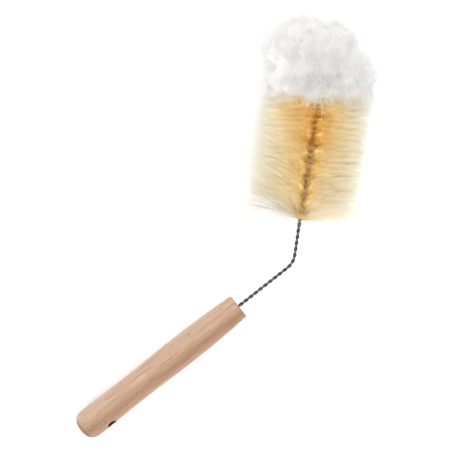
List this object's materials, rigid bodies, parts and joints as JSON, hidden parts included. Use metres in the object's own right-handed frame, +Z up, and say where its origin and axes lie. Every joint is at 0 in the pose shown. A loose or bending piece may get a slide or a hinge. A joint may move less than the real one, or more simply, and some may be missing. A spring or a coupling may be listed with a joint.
{
  "type": "bottle brush",
  "caption": "Bottle brush lying at rest: turned wooden handle with a hanging hole, bent stem of twisted wire, round head of natural bristle and a soft wool tip.",
  "frame": {"origin": "middle of the brush's outline seen from above, on the floor it lies on", "axes": "+Y along the bristle head towards the wool tip, +Z up from the floor, handle towards -X and -Y"},
  "size_m": [0.17, 0.3128, 0.0743],
  "materials": {
    "beech": "satin",
    "steel_wire": "satin",
    "natural_bristle": "matte",
    "white_wool": "matte"
  },
  "bodies": {
    "root": {"handle": "beech", "twisted_wire": "steel_wire", "bristles": "natural_bristle", "wool_tip": "white_wool"}
  },
  "joints": []
}
